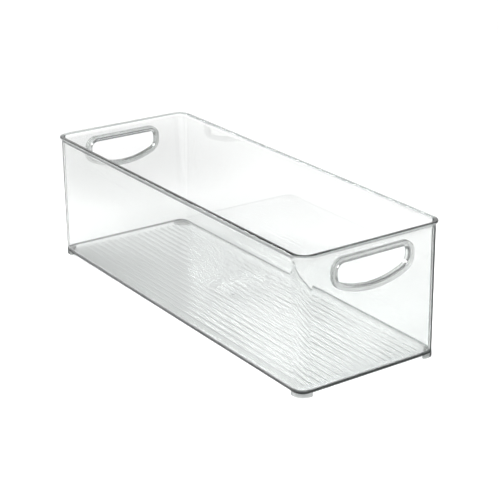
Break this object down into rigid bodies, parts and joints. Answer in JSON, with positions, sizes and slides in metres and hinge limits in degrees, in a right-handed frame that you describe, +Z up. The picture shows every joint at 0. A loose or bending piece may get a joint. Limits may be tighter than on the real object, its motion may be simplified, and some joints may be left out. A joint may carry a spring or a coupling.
{
  "type": "fridge bin",
  "caption": "Long clear plastic fridge bin with a flared rim, a ribbed floor, a gripped hand hole in each end wall and corner feet.",
  "frame": {"origin": "on the shelf under the middle of the bin, at the bottom of the feet", "axes": "+Z up, +Y along the length towards the rear end, +X across the width"},
  "size_m": [0.15, 0.41, 0.125],
  "materials": {
    "clear_tub": "clear, polished, faint green tint",
    "clear_grip": "clear soft plastic, smooth, slightly grey",
    "clear_foot": "cloudy clear soft plastic, satin"
  },
  "bodies": {
    "root": {"tub": "clear_tub", "front_handle_grip": "clear_grip", "rear_handle_grip": "clear_grip", "front_left_foot": "clear_foot", "front_right_foot": "clear_foot", "rear_left_foot": "clear_foot", "rear_right_foot": "clear_foot"}
  },
  "joints": []
}
